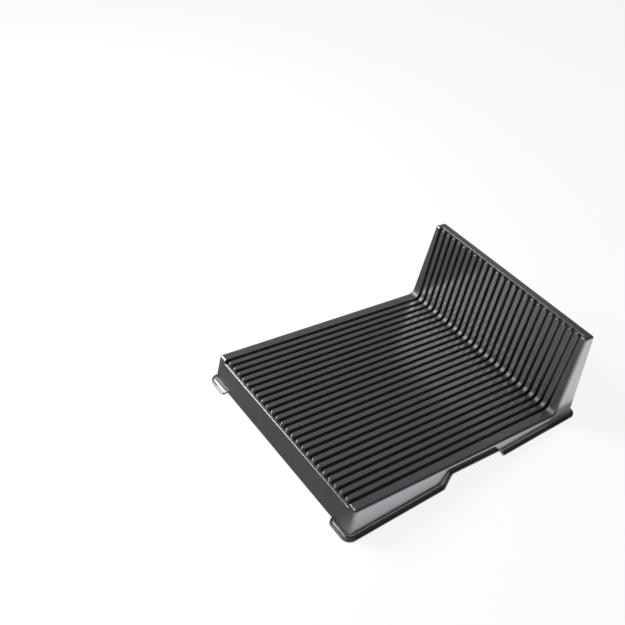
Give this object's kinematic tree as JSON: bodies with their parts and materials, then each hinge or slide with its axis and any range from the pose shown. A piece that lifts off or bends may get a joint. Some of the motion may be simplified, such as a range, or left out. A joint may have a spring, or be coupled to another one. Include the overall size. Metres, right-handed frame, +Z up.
{
  "type": "circuit board rack",
  "caption": "Black antistatic L-shaped rack with a sloping slotted floor and a slotted back wall that hold circuit boards on edge.",
  "frame": {"origin": "centre of the base on the surface the rack stands on", "axes": "+X across the slots, +Y from the open front to the back wall, +Z up"},
  "size_m": [0.282, 0.3658, 0.1293],
  "materials": {
    "moulding": "satin black conductive plastic, fine moulded texture"
  },
  "bodies": {
    "root": {"floor_panel": "moulding", "floor_ribs": "moulding", "floor_rails": "moulding", "wall_panel": "moulding", "wall_ribs": "moulding", "wall_rails": "moulding", "rib_fillets": "moulding", "wall_cap": "moulding", "rear_panel": "moulding", "left_cheek": "moulding", "right_cheek": "moulding", "front_skirt": "moulding", "left_skirt": "moulding", "right_skirt": "moulding", "front_feet": "moulding", "left_rim": "moulding", "right_rim": "moulding", "rear_rim": "moulding"}
  },
  "joints": []
}
